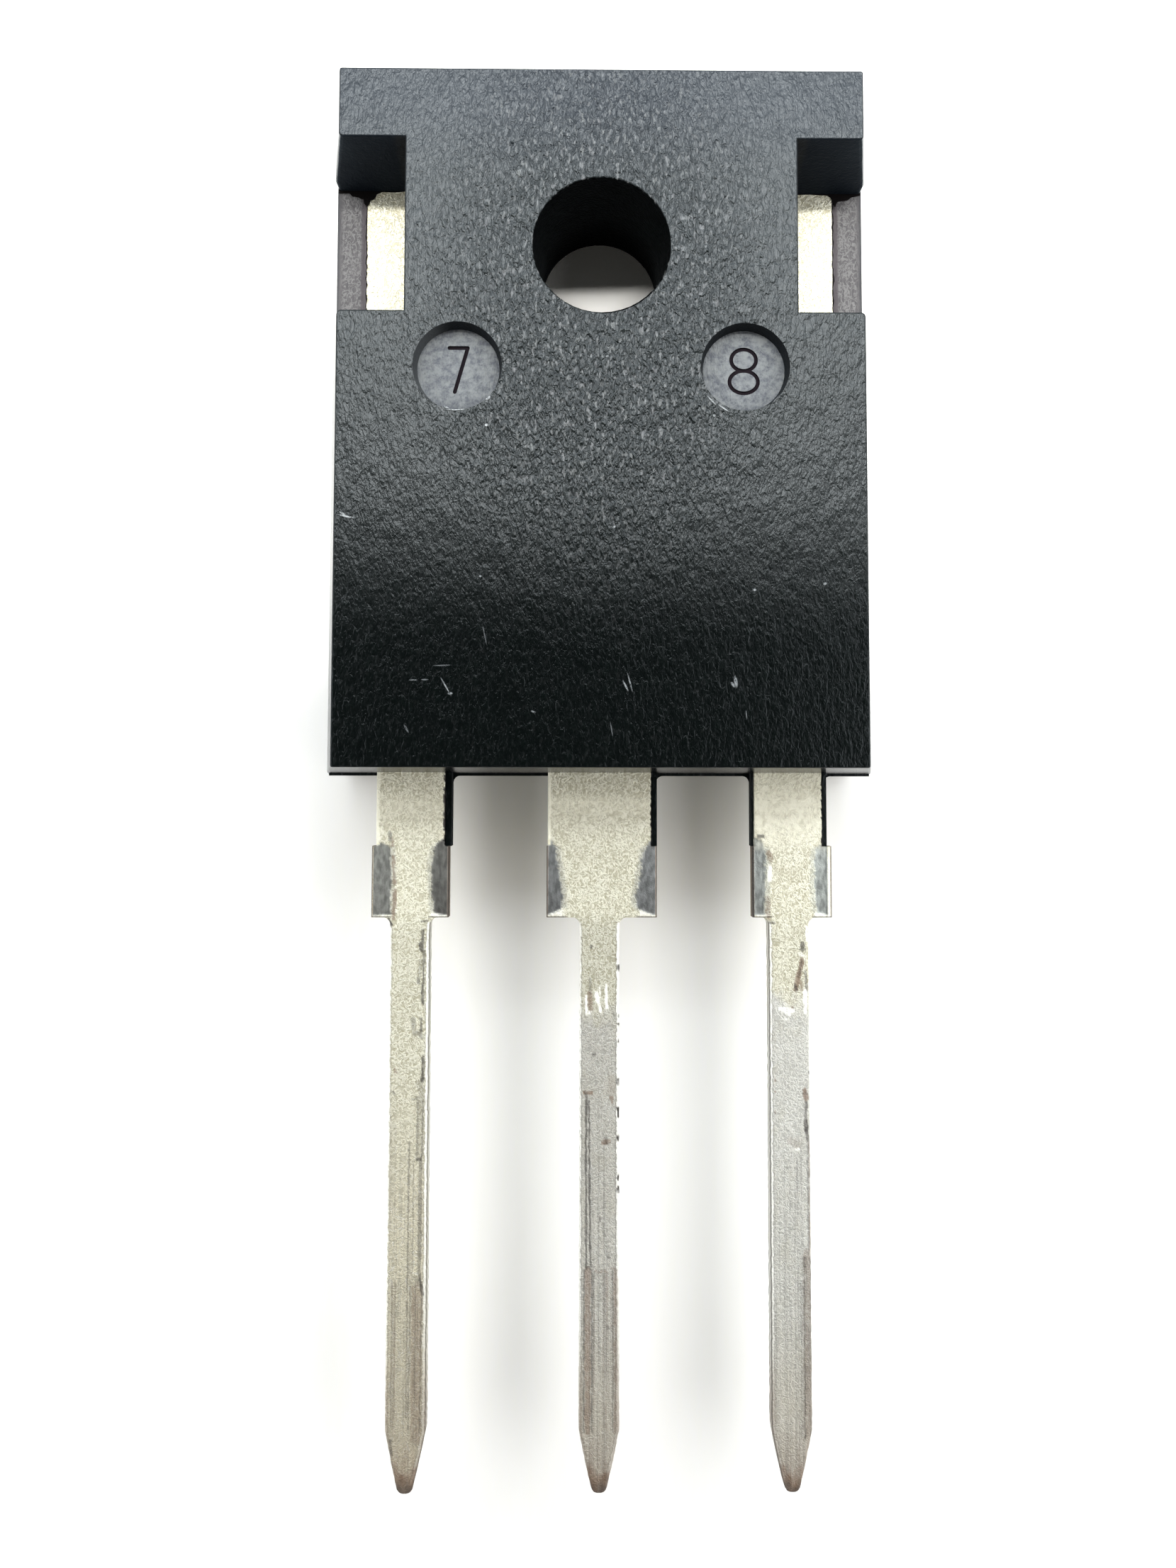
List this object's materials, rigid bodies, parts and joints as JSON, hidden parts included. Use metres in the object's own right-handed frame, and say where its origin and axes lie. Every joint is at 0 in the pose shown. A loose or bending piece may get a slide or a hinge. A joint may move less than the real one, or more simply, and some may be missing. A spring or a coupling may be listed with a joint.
{
  "type": "power transistor",
  "caption": "Flat moulded black body with a screw hole, side notches and a bare metal back, and straight tinned leads leaving one end, for screwing or clipping to a heat sink.",
  "frame": {"origin": "axis of the screw hole at the metal back face", "axes": "+Z out of the front face, away from the metal back; +Y towards the end with the screw hole, so the leads point along -Y; +X towards the drain lead"},
  "size_m": [0.016, 0.0408, 0.005],
  "materials": {
    "compound": "moulded black epoxy compound, fine satin grain, light scratches",
    "tinned_copper": "matt tin plate over copper, pitted and scratched, bare copper at the cut edges",
    "aluminium_wire": "drawn aluminium, satin",
    "silicon": "passivated chip surface, dark grey, smooth",
    "solder": "solidified solder, dull grey"
  },
  "bodies": {
    "root": {"mould_body": "compound", "heat_tab": "tinned_copper", "gate_lead": "tinned_copper", "drain_lead": "tinned_copper", "lower_die": "silicon", "upper_die": "silicon", "lower_die_solder": "solder", "upper_die_solder": "solder", "drain_wire_1": "aluminium_wire", "drain_wire_2": "aluminium_wire", "drain_wire_3": "aluminium_wire", "source_wire_1": "aluminium_wire", "source_wire_2": "aluminium_wire", "source_wire_3": "aluminium_wire", "gate_wire": "aluminium_wire", "lower_gate_wire_1": "aluminium_wire", "lower_gate_wire_2": "aluminium_wire"}
  },
  "joints": []
}
